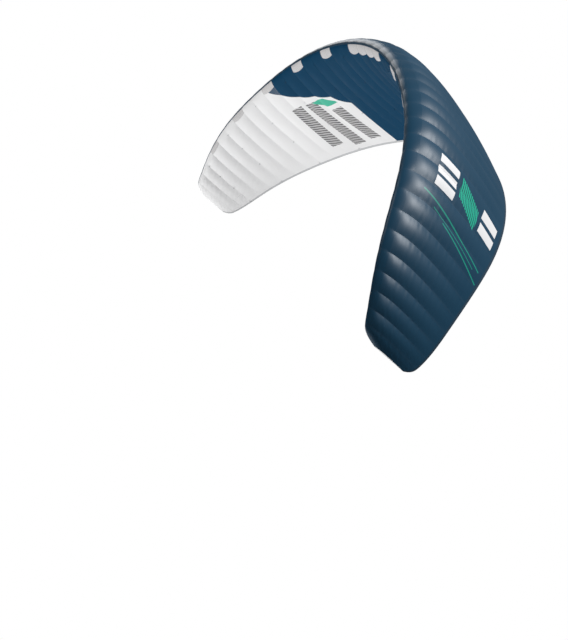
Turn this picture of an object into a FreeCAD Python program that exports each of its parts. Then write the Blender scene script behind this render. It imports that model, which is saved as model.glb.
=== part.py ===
import FreeCAD, Part
import math
import os

# Ram-air traction kite: an arched, closed-cell cloth wing that air fills through valves behind the nose.
# Frame: millimetres, +Z up at the top of the arch, the nose faces -Y, +X is the left wing as the kite flies.
# The origin is the eye of the front bridle tab on the centre rib. The bridle lines hold the kite there.

Vector = FreeCAD.Vector

# --- Planform: the chord follows a rounded taper, and the nose line is set back at stations along the
# flat half span, 0 at the centre rib and 1 at the tip. The tip's two corners are rounded off ---
half_span = 5102.0
chord_root = 1540.0
chord_tip = 525.0
planform_fullness = 0.448
sweep_inner = 28.0
sweep_middle = 145.0
sweep_outer = 316.0
sweep_tip = 518.0
sweep_stations = (0.0, 0.347, 0.694, 0.893, 0.992)

# --- Arch: the slope of the wing's span line, in degrees ---
arch_inner = 11.1
arch_middle = 23.6
arch_outer = 44.7
arch_tip = 68.9
arch_stations = (0.0, 0.248, 0.496, 0.744, 0.992)
twist_root = 4.3
twist_tip = 3.0
tip_round_cells = 1.5
tip_round_front = 130.0
tip_round_rear = 62.0

# --- Cells and aerofoil ---
cells_per_side = 21
cell_narrowing = 0.70
tip_cell_share = 0.76
root_thickness = 0.186
tip_thickness = 0.145
tip_rib_share = 0.47
camber = 0.025
camber_place = 0.30
billow = 0.07
nose_billow_share = 0.15
nose_billow_end = 0.14

# --- Cloth, seams and clearances ---
skin = 1.0
rib_plate = 1.0
seam = 0.3
rib_inset = 0.6
inner_clearance = 0.8
rear_depth = 3.2

# --- Where the panels meet, as shares of the local chord ---
nose_seam_top = 0.073
intake_front = 0.009
intake_rear = 0.058
intake_bow = 0.012
colour_break = {6: 0.50, 7: 0.385, 8: 0.325, 9: 0.265, 10: 0.16}
intake_cells = (1, 2, 5, 8, 11, 14, 17)
loaded_rib_step = 3
last_loaded_rib = 18

# --- Ports, battens, diagonals ---
port_places = (0.14, 0.27, 0.40, 0.53, 0.66)
port_share = 0.60
batten_bottom_end = 0.10
batten_top_end = 0.11
batten_size = 2.5
diagonal_places = (0.12, 0.22, 0.34, 0.47, 0.60)
diagonal_plate = 1.0

# --- Valve flaps and drain flaps ---
flap_side_gap = 9.0
flap_front_gap = 2.0
flap_rear_gap = 0.002
drain_cell = 19
drain_front = 0.78
drain_rear = 0.88

# --- Bridle tabs ---
row_front = 0.09
row_middle = 0.33
row_rear = 0.62
brake_ribs = (6, 9, 12, 15, 18)
brake_row = 0.97
tab_width = 16.0
tab_plate = 2.0
tab_drop = 12.0
tab_gap = 0.8
eye_radius = 2.0

arch_steps = 48
profile_points = 15
span_sections = 5
tip_sections = 9
small_step = 1e-4
near_rear = 0.999


def natural_spline(knots, values):
    """A cubic curve through the values, straight at both ends."""
    count = len(knots)
    gap = [knots[i + 1] - knots[i] for i in range(count - 1)]
    slope = [(values[i + 1] - values[i]) / gap[i] for i in range(count - 1)]
    upper = [0.0] * count
    bend = [0.0] * count
    for i in range(1, count - 1):
        pivot = 2 * (gap[i - 1] + gap[i]) - gap[i - 1] * upper[i - 1]
        upper[i] = gap[i] / pivot
        bend[i] = (6 * (slope[i] - slope[i - 1]) - gap[i - 1] * bend[i - 1]) / pivot
    for i in range(count - 2, 0, -1):
        bend[i] -= upper[i] * bend[i + 1]

    def value(at):
        i = 0
        while i < count - 2 and at > knots[i + 1]:
            i += 1
        near, far = at - knots[i], knots[i + 1] - at
        cubic = (bend[i] * far**3 + bend[i + 1] * near**3) / (6 * gap[i])
        start = (values[i] / gap[i] - bend[i] * gap[i] / 6) * far
        end = (values[i + 1] / gap[i] - bend[i + 1] * gap[i] / 6) * near
        return cubic + start + end

    return value


def mirrored_spline(knots, values, sign):
    """The same curve carried through the centre rib: sign 1 keeps it level there, -1 turns it over."""
    other = [-k for k in reversed(knots[1:])]
    mirrored = [sign * v for v in reversed(values[1:])]
    return natural_spline(other + list(knots), mirrored + list(values))


sweep_at = mirrored_spline(
    sweep_stations, (0.0, sweep_inner, sweep_middle, sweep_outer, sweep_tip), 1
)
arch_at = mirrored_spline(
    arch_stations, (0.0, arch_inner, arch_middle, arch_outer, arch_tip), -1
)


def chord_at(at):
    """The chord at a station: full through the middle of the wing, falling faster towards the tip."""
    fall = 1 - (chord_tip / chord_root) ** (1 / planform_fullness)
    return chord_root * (1 - fall * at * at) ** planform_fullness


def rib_stations():
    """Where each rib stands along the half span: cells narrow towards the tip, and the last is narrower still."""
    widths = []
    for cell in range(1, cells_per_side):
        widths.append(1 - cell_narrowing * ((cell - 0.5) / cells_per_side) ** 2)
    widths.append(widths[-1] * tip_cell_share)
    total = sum(widths)
    stations = [0.0]
    for width in widths:
        stations.append(stations[-1] + width / total)
    return stations


ribs_at = rib_stations()


def station(rib):
    """The span station of a place counted in ribs, such as 3.5 for the middle of the fourth cell."""
    inner = min(int(rib), cells_per_side - 1)
    return ribs_at[inner] + (rib - inner) * (ribs_at[inner + 1] - ribs_at[inner])


def arch_point(at):
    """The span line's x and z at a station, by adding up its slope from the centre."""
    x = z = 0.0
    step = at / arch_steps
    for i in range(arch_steps + 1):
        weight = 1 if i in (0, arch_steps) else (4 if i % 2 else 2)
        angle = math.radians(arch_at(i * step))
        x += weight * math.cos(angle) * step / 3
        z -= weight * math.sin(angle) * step / 3
    return x * half_span, z * half_span


class Section:
    """The aerofoil at one place along the span. Side 1 is the left wing and -1 the right wing."""

    def __init__(self, side, rib):
        at = station(rib)
        self.side = side
        self.rib = rib
        self.slope = math.radians(arch_at(at))
        rounding = max(0.0, 1 - (cells_per_side - rib) / tip_round_cells) ** 4
        self.chord = chord_at(at) - (tip_round_front + tip_round_rear) * rounding
        self.sweep = sweep_at(at) + tip_round_front * rounding
        self.twist = math.radians(twist_root + (twist_tip - twist_root) * at**2)
        self.x, self.z = arch_point(at)
        thickness = root_thickness + (tip_thickness - root_thickness) * at**2
        last_cell = max(0.0, rib - (cells_per_side - 1))
        self.thickness = thickness * (1 - last_cell * (1 - tip_rib_share))
        cell = min(int(rib), cells_per_side - 1)
        self.across = rib - cell
        self.cell_width = (ribs_at[cell + 1] - ribs_at[cell]) * half_span

    def height(self, along):
        """The profile's height above its chord line, as a share of the chord. See plane for along."""
        x = along * along
        root = abs(along)
        half = 5 * self.thickness * (
            0.2969 * root - 0.1260 * x - 0.3516 * x**2 + 0.2843 * x**3 - 0.1036 * x**4
        )
        if x < camber_place:
            middle = camber / camber_place**2 * (2 * camber_place * x - x * x)
        else:
            rest = 1 - camber_place
            middle = camber / rest**2 * (1 - 2 * camber_place + 2 * camber_place * x - x * x)
        return middle + math.copysign(half, along)

    def bulge(self, along):
        """How far the cloth billows out between its two ribs."""
        x = along * along
        ease = min(1.0, x / nose_billow_end)
        share = nose_billow_share + (1 - nose_billow_share) * ease * ease * (3 - 2 * ease)
        crown = 4 * self.across * (1 - self.across)
        return billow * self.cell_width * crown * share * (1 - x * x)

    def plane(self, along, depth):
        """Chordwise and upward distances of a point on the profile, sunk by depth towards the inside.

        along runs round the profile: -1 at the rear edge of the bottom, 0 at the nose, 1 at the rear edge
        of the top, and its square is the share of the chord.
        """
        ahead = (along + small_step) ** 2 - (along - small_step) ** 2
        rise = self.height(along + small_step) - self.height(along - small_step)
        length = math.hypot(ahead, rise)
        out_y, out_z = -rise / length, ahead / length
        out = self.bulge(along) - depth
        y = along * along * self.chord + out_y * out
        z = self.height(along) * self.chord + out_z * out
        return y, z, out_y, out_z

    def place(self, y, z):
        """A point of the aerofoil's own plane, turned by the twist and set on the arch."""
        chordwise = y * math.cos(self.twist) + z * math.sin(self.twist)
        upward = z * math.cos(self.twist) - y * math.sin(self.twist)
        across = self.x + upward * math.sin(self.slope)
        return Vector(
            self.side * across, self.sweep + chordwise, self.z + upward * math.cos(self.slope)
        )

    def point(self, along, depth=0.0):
        y, z, _, _ = self.plane(along, depth)
        return self.place(y, z) - origin

    def span_normal(self):
        """The direction across the rib plane, towards the tip."""
        return Vector(self.side * math.cos(self.slope), 0, -math.sin(self.slope))

    def rear(self):
        """Where the cloth ends at the hem: the profile is rear_depth deep there."""
        depth = self.height(near_rear) - self.height(-near_rear)
        taper = depth / (1 - near_rear**2)
        return math.sqrt(1 - rear_depth / (taper * self.chord))

    def step(self, along, distance):
        """The along value that lies a distance further towards the top's rear edge."""
        ahead = (along + small_step) ** 2 - (along - small_step) ** 2
        rise = self.height(along + small_step) - self.height(along - small_step)
        rate = math.hypot(ahead, rise) * self.chord / (2 * small_step)
        return along + distance / rate


def tab_axes(section, along):
    """A surface point with its outward and rearward directions in the rib plane."""
    y, z, out_y, out_z = section.plane(along, 0.0)
    surface = section.place(y, z)
    outward = section.place(y + out_y, z + out_z) - surface
    rearward = section.place(y - out_z, z + out_y) - surface
    return surface, outward, rearward


origin = Vector(0, 0, 0)
eye_surface, eye_outward, _ = tab_axes(Section(1, 0.0), -math.sqrt(row_front))
origin = eye_surface + eye_outward * (tab_gap + tab_drop)


def curve(points):
    """A smooth edge through the points, with the same spacing of knots each time."""
    bspline = Part.BSplineCurve()
    bspline.interpolate(Points=points, Parameters=[float(i) for i in range(len(points))])
    return bspline.toShape()


def strip_wire(section, start, end, depth, plate):
    """A closed outline: the profile from start to end, as thick as plate, sunk by depth."""
    steps = profile_points - 1
    outer = []
    inner = []
    for i in range(profile_points):
        along = start + (end - start) * i / steps
        outer.append(section.point(along, depth))
        inner.append(section.point(along, depth + plate))
    edges = [
        curve(outer),
        Part.LineSegment(outer[-1], inner[-1]).toShape(),
        curve(inner[::-1]),
        Part.LineSegment(inner[0], outer[0]).toShape(),
    ]
    return Part.Wire(edges)


def cell_sections(side, cell, side_gap):
    """Sections across one cell, kept side_gap from the planes of its two ribs."""
    width = (ribs_at[cell] - ribs_at[cell - 1]) * half_span
    margin = side_gap / width
    count = tip_sections if cell == cells_per_side else span_sections
    found = []
    for i in range(count):
        across = margin + (1 - 2 * margin) * i / (count - 1)
        found.append(Section(side, cell - 1 + across))
    return found


def cell_strip(side, cell, start, end, side_gap, depth=0.0, plate=skin):
    """A billowed panel of one cell between two seams. start and end give each section's along value."""
    wires = []
    for section in cell_sections(side, cell, side_gap):
        wires.append(strip_wire(section, start(section), end(section), depth, plate))
    return Part.makeLoft(wires, True, False)


panel_side_gap = rib_plate / 2 + seam


def nose_panel(side, cell):
    return cell_strip(
        side,
        cell,
        lambda s: -math.sqrt(intake_front),
        lambda s: math.sqrt(nose_seam_top),
        panel_side_gap,
    )


def top_panel(side, cell):
    return cell_strip(
        side,
        cell,
        lambda s: s.step(math.sqrt(nose_seam_top), seam),
        lambda s: s.rear(),
        panel_side_gap,
    )


def intake_edge(section):
    """The rear edge of an intake, bowed back between its two ribs."""
    return intake_rear + intake_bow * 4 * section.across * (1 - section.across)


def bottom_start(cell):
    """The front seam of a bottom panel: behind the intake where the cell has one."""
    if cell in intake_cells:
        return lambda s: s.step(-math.sqrt(intake_edge(s)), -seam)
    return lambda s: s.step(-math.sqrt(intake_front), -seam)


def break_line(cell):
    """The seam between the front and rear bottom panels, straight from rib to rib."""
    inner, outer = colour_break[cell - 1], colour_break[cell]
    return lambda s: -math.sqrt(inner + (outer - inner) * s.across)


def bottom_front_panel(side, cell):
    if cell - 1 in colour_break:
        return cell_strip(side, cell, break_line(cell), bottom_start(cell), panel_side_gap)
    return cell_strip(side, cell, lambda s: -s.rear(), bottom_start(cell), panel_side_gap)


def bottom_rear_panel(side, cell):
    """The rear or outer bottom panel. The cell with the drain is handled by drain_panels."""
    if cell in colour_break:
        seam_line = break_line(cell)
        front = lambda s: s.step(seam_line(s), -seam)
    else:
        front = bottom_start(cell)
    return cell_strip(side, cell, lambda s: -s.rear(), front, panel_side_gap)


def drain_panels(side):
    """The bottom panels in front of and behind the drain opening."""
    front_end = lambda s: s.step(-math.sqrt(drain_front), seam)
    rear_end = lambda s: s.step(-math.sqrt(drain_rear), -seam)
    return [
        cell_strip(side, drain_cell, front_end, bottom_start(drain_cell), panel_side_gap),
        cell_strip(side, drain_cell, lambda s: -s.rear(), rear_end, panel_side_gap),
    ]


def drain_flap(side):
    return cell_strip(
        side,
        drain_cell,
        lambda s: -math.sqrt(drain_rear),
        lambda s: -math.sqrt(drain_front),
        panel_side_gap + seam,
    )


def intake_screen(side, cell):
    return cell_strip(
        side,
        cell,
        lambda s: -math.sqrt(intake_edge(s)),
        lambda s: s.step(-math.sqrt(intake_front), -seam),
        panel_side_gap,
    )


def valve_flap(side, cell):
    """The one-way flap behind an intake. It lies just inside the screen, hinged along its front edge."""
    return cell_strip(
        side,
        cell,
        lambda s: -math.sqrt(intake_edge(s) - flap_rear_gap),
        lambda s: s.step(-math.sqrt(intake_front), -flap_front_gap),
        flap_side_gap,
        skin + inner_clearance,
    )


def extruded(face, direction, thickness):
    """A plate of the face's outline, half of its thickness to each side."""
    face.translate(direction * (-thickness / 2))
    return face.extrude(direction * thickness)


def rib_outline(section):
    """The rib's edge, a little inside the cloth, from the top's rear end round the nose to the bottom's."""
    rear = section.rear()
    count = 2 * profile_points
    points = [section.point(rear - 2 * rear * i / count, rib_inset) for i in range(count + 1)]
    return Part.Wire([curve(points), Part.LineSegment(points[-1], points[0]).toShape()])


def rib(side, number, ports=True):
    """A flat cloth rib with round ports that let the air pass from cell to cell."""
    section = Section(side, float(number))
    across = section.span_normal()
    wires = [rib_outline(section)]
    if ports:
        for place in port_places:
            along = math.sqrt(place)
            top, bottom = section.point(along), section.point(-along)
            centre = (top + bottom) * 0.5
            radius = (top - bottom).Length * port_share / 2
            wires.append(Part.Wire([Part.makeCircle(radius, centre, across)]))
    face = Part.Face(wires, "Part::FaceMakerBullseye")
    return extruded(face, across, rib_plate)


def nose_batten(side, number):
    """A slim plastic batten beside the rib that keeps the nose round."""
    section = Section(side, float(number))
    across = section.span_normal()
    depth = skin + inner_clearance
    wire = strip_wire(
        section, -math.sqrt(batten_bottom_end), math.sqrt(batten_top_end), depth, batten_size
    )
    offset = rib_plate / 2 + seam + batten_size / 2
    inward = across if number == 0 else across * -1
    face = Part.Face(wire)
    face.translate(inward * offset)
    return extruded(face, across, batten_size)


def diagonal_rib(side, number, step):
    """A slanted cloth web from the foot of a loaded rib to the head of the rib beside it."""
    offset = rib_plate / 2 + 2 * seam + diagonal_plate / 2
    depth = skin + inner_clearance + diagonal_plate / 2
    foot_rib = Section(side, float(number))
    head_rib = Section(side, float(number + step))
    foot_across = foot_rib.span_normal() * (step * offset)
    head_across = head_rib.span_normal() * (-step * offset)
    wires = []
    for place in diagonal_places:
        along = math.sqrt(place)
        foot = foot_rib.point(-along, depth) + foot_across
        head = head_rib.point(along, depth) + head_across
        thick = (head - foot).cross(Vector(0, 1, 0))
        thick.normalize()
        thick = thick * (diagonal_plate / 2)
        corners = [foot - thick, head - thick, head + thick, foot + thick]
        wires.append(Part.makePolygon(corners + corners[:1]))
    return Part.makeLoft(wires, True, True)


def hem(side, cell):
    """The taped rear edge of one cell, where top and bottom cloth are sewn together."""
    wires = []
    for section in cell_sections(side, cell, seam):
        start = section.rear()
        corners = [
            section.point(section.step(start, seam)),
            section.point(1.0),
            section.point(section.step(-start, -seam)),
        ]
        wires.append(Part.makePolygon(corners + corners[:1]))
    return Part.makeLoft(wires, True, False)


def webbing_tab(side, number, share):
    """A folded webbing loop under a rib seam, with the eye that a bridle line is tied to."""
    section = Section(side, float(number))
    surface, outward, rearward = tab_axes(section, -math.sqrt(share))
    surface = surface - origin
    across = section.span_normal()
    half = tab_width / 2
    head = surface + outward * tab_gap
    eye = head + outward * tab_drop
    corners = [head - rearward * half, head + rearward * half]
    foot = [eye - rearward * half, eye + rearward * half]
    lowest = eye + outward * half
    edges = [
        Part.LineSegment(corners[0], corners[1]).toShape(),
        Part.LineSegment(corners[1], foot[1]).toShape(),
        Part.Arc(foot[1], lowest, foot[0]).toShape(),
        Part.LineSegment(foot[0], corners[0]).toShape(),
    ]
    hole = Part.Wire([Part.makeCircle(eye_radius, eye, across)])
    face = Part.Face([Part.Wire(edges), hole], "Part::FaceMakerBullseye")
    return extruded(face, across, tab_plate)


def save(node, solids):
    """One file per node; identical pieces share a node as separate solids."""
    shape = solids[0] if len(solids) == 1 else Part.makeCompound(solids)
    shape.exportStep(os.path.join("parts", node + ".step"))
    volume = sum(solid.Volume for solid in solids)
    valid = all(solid.isValid() and solid.Volume > 0 for solid in solids)
    print(f"{node}: {len(solids)} solids, {volume / 1000:.1f} cm3, valid {valid}")


def upright(solids):
    """Solids as solids, with their faces turned outward."""
    found = []
    for shape in solids:
        solid = shape.Solids[0]
        if solid.Volume < 0:
            solid.reverse()
        found.append(solid)
    return found


def build_side(side, name):
    """Everything on one wing, from the centre rib out."""
    cells = range(1, cells_per_side + 1)
    ribs = range(1, cells_per_side)
    loaded = [r for r in ribs if r % loaded_rib_step == 0 and r <= last_loaded_rib]
    plain = [r for r in ribs if r not in loaded]
    front_cells = [c for c in cells if c <= max(colour_break)]
    rear_cells = [c for c in cells if c > min(colour_break) and c != drain_cell]

    save(f"nose_panels_{name}", upright([nose_panel(side, c) for c in cells]))
    save(f"top_panels_{name}", upright([top_panel(side, c) for c in cells]))
    save(f"bottom_front_panels_{name}", upright([bottom_front_panel(side, c) for c in front_cells]))
    rear_panels = [bottom_rear_panel(side, c) for c in rear_cells] + drain_panels(side)
    save(f"bottom_rear_panels_{name}", upright(rear_panels))
    save(f"trailing_edge_hem_{name}", upright([hem(side, c) for c in cells]))
    save(f"loaded_ribs_{name}", upright([rib(side, r) for r in loaded]))
    save(f"plain_ribs_{name}", upright([rib(side, r) for r in plain]))
    save(f"tip_rib_{name}", upright([rib(side, cells_per_side, ports=False)]))
    save(f"nose_battens_{name}", upright([nose_batten(side, r) for r in ribs]))
    diagonals = [diagonal_rib(side, 0, 1)]
    for number in loaded:
        diagonals.append(diagonal_rib(side, number, -1))
        diagonals.append(diagonal_rib(side, number, 1))
    save(f"diagonal_ribs_{name}", upright(diagonals))
    save(f"front_tabs_{name}", upright([webbing_tab(side, r, row_front) for r in loaded]))
    save(f"middle_tabs_{name}", upright([webbing_tab(side, r, row_middle) for r in loaded]))
    save(f"rear_tabs_{name}", upright([webbing_tab(side, r, row_rear) for r in loaded]))
    save(f"brake_tabs_{name}", upright([webbing_tab(side, r, brake_row) for r in brake_ribs]))
    save(f"intake_screens_{name}", upright([intake_screen(side, c) for c in intake_cells]))
    for count, cell in enumerate(intake_cells, 1):
        save(f"valve_flap_{name}_{count}", upright([valve_flap(side, cell)]))
    save(f"drain_flap_{name}", upright([drain_flap(side)]))


def build_centre():
    """The centre rib with its batten and its three tabs."""
    save("centre_rib", upright([rib(1, 0)]))
    save("centre_batten", upright([nose_batten(1, 0)]))
    save("centre_front_tab", upright([webbing_tab(1, 0, row_front)]))
    save("centre_middle_tab", upright([webbing_tab(1, 0, row_middle)]))
    save("centre_rear_tab", upright([webbing_tab(1, 0, row_rear)]))


os.makedirs("parts", exist_ok=True)
build_centre()
build_side(1, "left")
build_side(-1, "right")
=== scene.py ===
# %% [markdown]
# A foil kite is a wing made only of cloth. Air enters through screened intakes behind the nose and
# holds two skins apart, and ribs inside give the skins their aerofoil. This lesson opens the
# engineering model as a fixed frame, and then sews a cloth piece over each of its stiff stand-in
# panels.

# %% Open the frame
import math

import bmesh
import bpy
import numpy as np
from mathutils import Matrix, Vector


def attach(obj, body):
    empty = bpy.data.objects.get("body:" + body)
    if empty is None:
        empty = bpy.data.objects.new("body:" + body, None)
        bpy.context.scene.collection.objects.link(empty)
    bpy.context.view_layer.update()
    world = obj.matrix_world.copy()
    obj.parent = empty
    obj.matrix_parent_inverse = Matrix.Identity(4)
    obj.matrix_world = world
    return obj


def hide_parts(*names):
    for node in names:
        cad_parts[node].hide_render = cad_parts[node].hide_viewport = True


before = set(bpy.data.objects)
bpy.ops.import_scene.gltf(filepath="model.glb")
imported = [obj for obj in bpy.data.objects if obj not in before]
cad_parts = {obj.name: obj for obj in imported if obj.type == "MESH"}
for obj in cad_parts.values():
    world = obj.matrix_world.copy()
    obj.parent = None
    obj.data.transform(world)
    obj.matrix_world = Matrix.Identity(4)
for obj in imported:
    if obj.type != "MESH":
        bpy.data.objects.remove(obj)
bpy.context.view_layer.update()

# %% [markdown]
# The camera comes first, so that every later step can be judged from it. The kite flies banked, so
# the camera looks at its left tip from slightly above, rolled to its right. A long lens keeps the
# two tips near the same scale. The aim is a point below the arch.

# %% Camera
VIEW_AZIMUTH, VIEW_ELEVATION, VIEW_ROLL = map(math.radians, (72.89, 1.74, 40.19))
VIEW_AIM = np.array((0.180, 1.0555, -2.5911))
VIEW_DISTANCE, VIEW_LENS, VIEW_REACH = 18.254, 99.6, 500

backward = np.array((
    math.sin(VIEW_AZIMUTH) * math.cos(VIEW_ELEVATION),
    -math.cos(VIEW_AZIMUTH) * math.cos(VIEW_ELEVATION),
    math.sin(VIEW_ELEVATION),
))
level = np.cross(-backward, (0, 0, 1))
level /= np.linalg.norm(level)
upright = np.cross(level, -backward)
rightward = level * math.cos(VIEW_ROLL) + upright * math.sin(VIEW_ROLL)
upward = upright * math.cos(VIEW_ROLL) - level * math.sin(VIEW_ROLL)
eye = VIEW_AIM + backward * VIEW_DISTANCE

bpy.ops.object.select_all(action="DESELECT")
bpy.ops.object.camera_add(location=eye)
camera = bpy.context.object
camera.rotation_euler = Matrix((rightward, upward, backward)).transposed().to_euler()
camera.data.lens = VIEW_LENS
camera.data.clip_end = VIEW_REACH
bpy.context.scene.camera = camera
print("camera at", [round(float(v), 2) for v in eye])

# %% [markdown]
# The wing's shape is the same rule that cut the stiff panels: a planform, an arch, a twist and an
# aerofoil. Written for whole arrays of points at once, it turns a flat grid into cloth on the wing.
# A place on the cloth has two numbers. rib counts cells from the centre. along runs round the
# aerofoil from -1 at the rear of the underside, past 0 at the nose, to 1 at the rear of the top.
# The square of along is the share of the chord behind the nose.

# %% Sizes of the wing, in metres and degrees
# The planform. Sweep and arch are curves: shares of the half span, then the values there.
HALF_SPAN, CHORD_ROOT, CHORD_TIP, FULLNESS = 5.102, 1.540, 0.525, 0.448
SWEEP = ((0, 0.347, 0.694, 0.893, 0.992), (0, 0.028, 0.145, 0.316, 0.518))
ARCH = ((0, 0.248, 0.496, 0.744, 0.992), (0, 11.1, 23.6, 44.7, 68.9))
TWIST_ROOT, TWIST_TIP = 4.3, 3.0
# Cells of one wing: how much the outer ones narrow, and the last one's width beside its neighbour.
CELLS, NARROWING, TIP_CELL = 21, 0.70, 0.76
# The tip's rounded corners: over how many cells, and how much they cut off in front and behind.
ROUND_CELLS, ROUND_FRONT, ROUND_REAR = 1.5, 0.130, 0.062
# The aerofoil, as shares of the chord. The tip rib is thinner by one more share.
THICK_ROOT, THICK_TIP, TIP_RIB = 0.186, 0.145, 0.47
CAMBER, CAMBER_AT = 0.025, 0.30
THICKNESS_TERMS = (0.2969, 0.1260, 0.3516, 0.2843, 0.1036)
# Billow between ribs, as a share of the cell's width. It is less at the nose.
BILLOW, NOSE_BILLOW, NOSE_BILLOW_END = 0.07, 0.15, 0.14
TINY = 1e-4
SIDES = ((1, "left"), (-1, "right"))
print("flat span", 2 * HALF_SPAN, "m,", 2 * CELLS, "cells,", 2 * CELLS + 1, "ribs")


# %% Curves along the span
def span_curve(knots, values, sign):
    """A smooth curve through the values and their mirror image: sign 1 is even, -1 is odd."""
    k = np.concatenate([-np.array(knots[:0:-1], float), np.array(knots, float)])
    v = np.concatenate([sign * np.array(values[:0:-1], float), np.array(values, float)])
    gap, count = np.diff(k), len(k)
    slope = np.diff(v) / gap
    rows, wanted = np.eye(count), np.zeros(count)
    for i in range(1, count - 1):
        rows[i, i - 1 : i + 2] = gap[i - 1], 2 * (gap[i - 1] + gap[i]), gap[i]
        wanted[i] = 6 * (slope[i] - slope[i - 1])
    bend = np.linalg.solve(rows, wanted)

    def value(at):
        i = np.clip(np.searchsorted(k, at) - 1, 0, count - 2)
        near, far, g = at - k[i], k[i + 1] - at, gap[i]
        cubic = (bend[i] * far**3 + bend[i + 1] * near**3) / (6 * g)
        from_left = (v[i] / g - bend[i] * g / 6) * far
        from_right = (v[i + 1] / g - bend[i + 1] * g / 6) * near
        return cubic + from_left + from_right

    return value


sweep_at, arch_at = span_curve(*SWEEP, 1), span_curve(*ARCH, -1)

widths = 1 - NARROWING * ((np.arange(1, CELLS) - 0.5) / CELLS) ** 2
widths = np.append(widths, widths[-1] * TIP_CELL)
RIBS_AT = np.append(0, np.cumsum(widths)) / widths.sum()
CELL_WIDTHS = np.diff(RIBS_AT) * HALF_SPAN

# The arch is added up in fine steps, because cloth keeps its length as it curves down.
fine = np.linspace(0, 1, 2001)
turn = np.radians(arch_at(fine))
out_steps = (np.cos(turn)[1:] + np.cos(turn)[:-1]) / 2 * np.diff(fine) * HALF_SPAN
down_steps = (np.sin(turn)[1:] + np.sin(turn)[:-1]) / 2 * np.diff(fine) * HALF_SPAN
ARCH_X, ARCH_Z = np.append(0, np.cumsum(out_steps)), np.append(0, -np.cumsum(down_steps))
print("cells from", round(CELL_WIDTHS[0], 3), "to", round(CELL_WIDTHS[-1], 3), "m wide")


# %% The aerofoil at any rib
class Slice:
    """The aerofoil's sizes at an array of places along the span."""

    def __init__(self, rib):
        self.rib = np.asarray(rib, float)
        at = np.interp(self.rib, np.arange(CELLS + 1), RIBS_AT)
        self.at = at
        self.slope = np.radians(arch_at(at))
        fall = 1 - (CHORD_TIP / CHORD_ROOT) ** (1 / FULLNESS)
        corner = np.maximum(0, 1 - (CELLS - self.rib) / ROUND_CELLS) ** 4
        planform = CHORD_ROOT * (1 - fall * at * at) ** FULLNESS
        self.chord = planform - (ROUND_FRONT + ROUND_REAR) * corner
        self.sweep = sweep_at(at) + ROUND_FRONT * corner
        self.twist = np.radians(TWIST_ROOT + (TWIST_TIP - TWIST_ROOT) * at**2)
        self.x, self.z = np.interp(at, fine, ARCH_X), np.interp(at, fine, ARCH_Z)
        last = np.maximum(0, self.rib - (CELLS - 1))
        self.thick = (THICK_ROOT + (THICK_TIP - THICK_ROOT) * at**2) * (1 - last * (1 - TIP_RIB))
        cell = np.minimum(self.rib.astype(int), CELLS - 1)
        self.across = self.rib - cell
        self.width = CELL_WIDTHS[cell]

    def height(self, along):
        """Height over the chord line, as a share of the chord."""
        x, root = along * along, np.abs(along)
        a, b, c, d, e = THICKNESS_TERMS
        half = 5 * self.thick * (a * root - b * x - c * x**2 + d * x**3 - e * x**4)
        front = CAMBER / CAMBER_AT**2 * (2 * CAMBER_AT * x - x * x)
        rear = CAMBER / (1 - CAMBER_AT) ** 2 * (1 - 2 * CAMBER_AT + 2 * CAMBER_AT * x - x * x)
        return np.where(x < CAMBER_AT, front, rear) + np.copysign(half, along)

    def bulge(self, along):
        """How far the air pushes the cloth out between two ribs."""
        x = along * along
        ease = np.minimum(1, x / NOSE_BILLOW_END)
        share = NOSE_BILLOW + (1 - NOSE_BILLOW) * ease * ease * (3 - 2 * ease)
        return BILLOW * self.width * 4 * self.across * (1 - self.across) * share * (1 - x * x)

    def plane(self, along, sink):
        """The cloth's place in the rib's own plane, sunk by sink towards the inside."""
        ahead = (along + TINY) ** 2 - (along - TINY) ** 2
        rise = self.height(along + TINY) - self.height(along - TINY)
        length = np.hypot(ahead, rise)
        out = self.bulge(along) - sink
        y = along * along * self.chord - rise / length * out
        z = self.height(along) * self.chord + ahead / length * out
        return y, z

    def place(self, side, y, z):
        """From the rib's plane to the wing, measured from the centre rib's nose."""
        chordwise = y * np.cos(self.twist) + z * np.sin(self.twist)
        up = z * np.cos(self.twist) - y * np.sin(self.twist)
        x = side * (self.x + up * np.sin(self.slope))
        return np.stack([x, self.sweep + chordwise, self.z + up * np.cos(self.slope)], -1)

    def spanwise(self, side):
        """The direction straight out through the first rib of this slice."""
        return np.array((side * math.cos(self.slope[0]), 0, -math.sin(self.slope[0])))


root_and_tip = Slice([0, CELLS])
print("chords at the centre and the tip", root_and_tip.chord.round(3), "m")

# %% Where the frame's origin lies on this wing
FRONT_ROW, TAB_REACH = 0.09, 0.0128
centre_slice = Slice(np.zeros(1))
tab_y, tab_z = centre_slice.plane(np.full(1, -math.sqrt(FRONT_ROW)), -TAB_REACH)
ORIGIN = centre_slice.place(1, tab_y, tab_z)[0]
print("the centre tab's eye is", ORIGIN.round(4), "from the centre rib's nose")

# %% [markdown]
# Cloth is not as smooth as sheet metal. Where a rib is sewn on, the thread gathers the skin into
# short puckers that die out a hand's width from the seam. They are made in the mesh, because they
# catch light at a glancing angle, while the weave is far too fine for a mesh and is left to the
# material.

# %% Puckers beside the rib seams
PUCKER_DEEP, PUCKER_FADE, PUCKER_LONG = 0.0016, 0.022, 0.075
SECOND_DEEP, SECOND_LONG = 0.6, 0.61
# How far each rib's two waves are shifted, in radians, so that no two ribs are alike.
RIB_SHIFT, SECOND_SHIFT = 1.7, 2.9
# The nose is pulled tight, so puckers start behind it, and they end at the hem.
PUCKER_FROM, PUCKER_GROW, PUCKER_HEM = 0.3, 0.1, 0.03


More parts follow.
